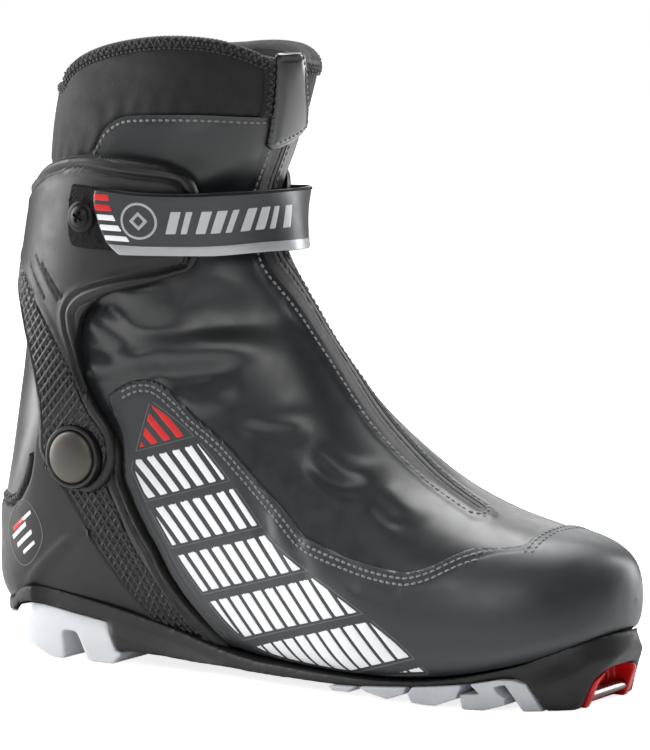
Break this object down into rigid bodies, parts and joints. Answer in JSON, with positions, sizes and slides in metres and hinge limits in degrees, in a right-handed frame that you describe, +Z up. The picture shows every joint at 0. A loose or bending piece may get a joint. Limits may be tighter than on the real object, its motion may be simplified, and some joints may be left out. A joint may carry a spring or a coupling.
{
  "type": "cross country ski boot",
  "caption": "Right-foot cross country skate boot with a hinged ankle cuff, zipped soft upper, power strap, lugged sole and a steel toe bar.",
  "frame": {"origin": "middle of the boot's bounding box on the ground plane, under the sole", "axes": "+X towards the toe, +Y towards the inner side of the foot, +Z up"},
  "size_m": [0.3048, 0.1052, 0.2638],
  "materials": {
    "sole_rubber": "matte moulded rubber",
    "lug_white": "satin white rubber plastic",
    "toe_red": "semi-gloss moulded",
    "bar_steel": "polished",
    "gunmetal": "satin gunmetal",
    "cuff_plastic": "fine texture, warm dark grey",
    "softshell": "coated sheet with a soft sheen",
    "overlay": "smooth coated synthetic leather",
    "flap_sheet": "glossy coated sheet",
    "strap_sheet": "satin coated webbing",
    "neoprene": "knit faced neoprene",
    "lining_textile": "fine textile",
    "loop_pile": "loop pile",
    "zip_tape": "woven tape and nylon coil",
    "foam": "brushed lining over foam",
    "board": "fibre board"
  },
  "bodies": {
    "boot": {"outsole": "sole_rubber", "heel_lug_block": "lug_white", "forefoot_lugs_lateral": "lug_white", "forefoot_lugs_medial": "lug_white", "toe_insert": "toe_red", "toe_bar": "bar_steel", "lasting_board": "board", "shank": "bar_steel", "footbed": "lining_textile", "vamp_softshell": "softshell", "inner_boot": "foam", "quarter_overlay": "overlay", "toe_puff": "board", "heel_counter": "cuff_plastic", "tongue": "foam", "eyestay_lateral": "lining_textile", "eyestay_medial": "lining_textile", "laces": "lining_textile", "zip_tape_lower": "zip_tape", "zip_coil_lower": "zip_tape", "pivot_rivet_lateral": "gunmetal", "pivot_rivet_medial": "gunmetal", "pivot_backing_lateral": "bar_steel", "pivot_backing_medial": "bar_steel"},
    "cuff": {"cuff_shell": "cuff_plastic", "cuff_lining": "foam", "shaft_softshell": "softshell", "shaft_liner": "foam", "collar": "neoprene", "collar_binding": "lining_textile", "zip_tape_upper": "zip_tape", "zip_coil_upper": "zip_tape", "strap_loop_patch": "loop_pile", "strap_washer": "gunmetal", "strap_screw": "gunmetal", "strap_anchor_medial": "cuff_plastic", "strap_anchor_screw": "gunmetal"},
    "strap": {"power_strap": "strap_sheet"},
    "flap": {"collar_flap": "flap_sheet"},
    "slider": {"zip_slider": "gunmetal"},
    "puller": {"zip_puller": "gunmetal"}
  },
  "joints": [
    {"name": "cuff_flex", "type": "hinge", "parent": "boot", "child": "cuff", "pos_m": [-0.0903, 0.00048, 0.088], "axis": [0, 1, 0], "range_deg": [-4, 15]},
    {"name": "strap_open", "type": "hinge", "parent": "cuff", "child": "strap", "pos_m": [-0.0742, 0.05038, 0.188], "axis": [0, 0, 1], "range_deg": [0, 70]},
    {"name": "flap_open", "type": "hinge", "parent": "cuff", "child": "flap", "pos_m": [-0.0034, -0.01512, 0.2375], "axis": [-0.148, 0.173, -0.9738], "range_deg": [0, 95]},
    {"name": "zip_travel", "type": "hinge", "parent": "cuff", "child": "slider", "pos_m": [0.2008, 0.00048, 0.2843], "axis": [0, 1, 0], "range_deg": [-32, 0]},
    {"name": "puller_lift", "type": "hinge", "parent": "slider", "child": "puller", "pos_m": [-0.0114, 0.00048, 0.1846], "axis": [0, 1, 0], "range_deg": [-4, 0]}
  ]
}
